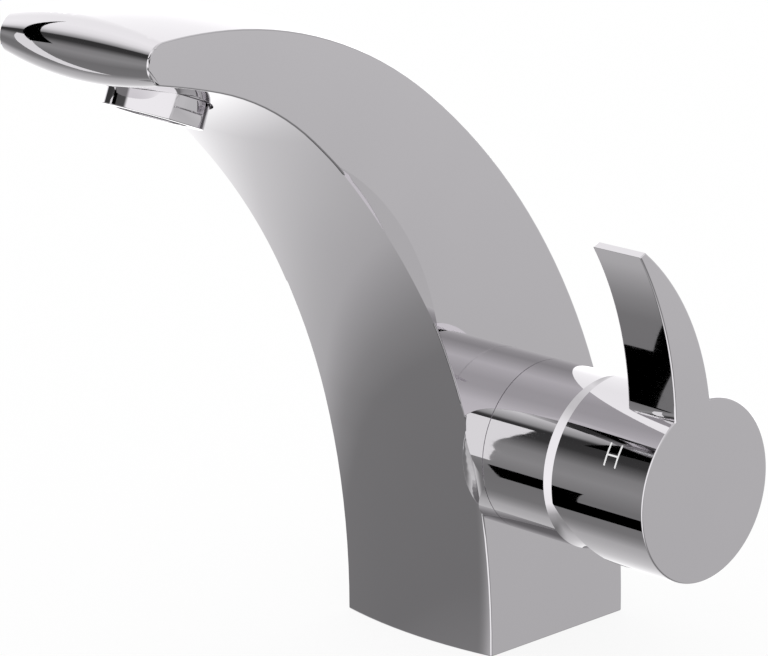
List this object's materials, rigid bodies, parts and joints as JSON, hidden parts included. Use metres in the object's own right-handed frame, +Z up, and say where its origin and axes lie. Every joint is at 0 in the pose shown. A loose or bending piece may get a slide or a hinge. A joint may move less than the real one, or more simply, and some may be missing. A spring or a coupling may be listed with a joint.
{
  "type": "basin mixer",
  "caption": "Single-hole basin mixer with an arched flat-sided body, a side-mounted lever with a curved horn and an aerator under the spout.",
  "frame": {"origin": "middle of the foot's flat underside, on the deck", "axes": "+X towards the lever, -Y towards the spout's outlet, +Z up"},
  "size_m": [0.1095, 0.1621, 0.233],
  "materials": {
    "chrome": "polished",
    "brass": "machined",
    "steel": "zinc plated",
    "rubber": "matte",
    "grey_plastic": "moulded",
    "white_plastic": "moulded",
    "blue_plastic": "moulded",
    "ceramic": "lapped ceramic"
  },
  "bodies": {
    "fixed": {"body": "chrome", "base_gasket": "rubber", "fixing_stud": "steel", "clamp_rubber": "rubber", "clamp_plate": "steel", "fixing_nut": "brass", "cover_sleeve": "chrome", "cartridge_nut": "brass", "cartridge_housing": "grey_plastic", "cartridge_base": "grey_plastic", "port_seals": "rubber", "disc_seal": "rubber", "fixed_disc": "ceramic", "stop_ring": "white_plastic", "aerator_housing": "chrome", "aerator_seal": "rubber", "aerator_screen": "white_plastic", "aerator_insert": "white_plastic"},
    "swivel": {"rotor": "white_plastic", "stem_pin": "steel"},
    "disc": {"moving_disc": "ceramic", "disc_carrier": "blue_plastic"},
    "lever": {"stem": "steel", "handle": "chrome", "grub_screw": "steel", "screw_plug": "chrome"}
  },
  "joints": [
    {"name": "temperature_turn", "type": "hinge", "parent": "fixed", "child": "swivel", "pos_m": [0.05, -0.0151, 0.0545], "axis": [1, 0, 0], "range_deg": [-50, 50]},
    {"name": "flow_tilt", "type": "hinge", "parent": "swivel", "child": "lever", "pos_m": [0.05, -0.0151, 0.0545], "axis": [0, 1, 0], "range_deg": [0, 25]},
    {"name": "disc_slide", "type": "slide", "parent": "swivel", "child": "disc", "axis": [0, 0, 1], "range_m": [0, 0.0038]}
  ],
  "couplings": [
    {"joint": "disc_slide", "follows": "flow_tilt", "m_per_rad": 0.0086}
  ]
}
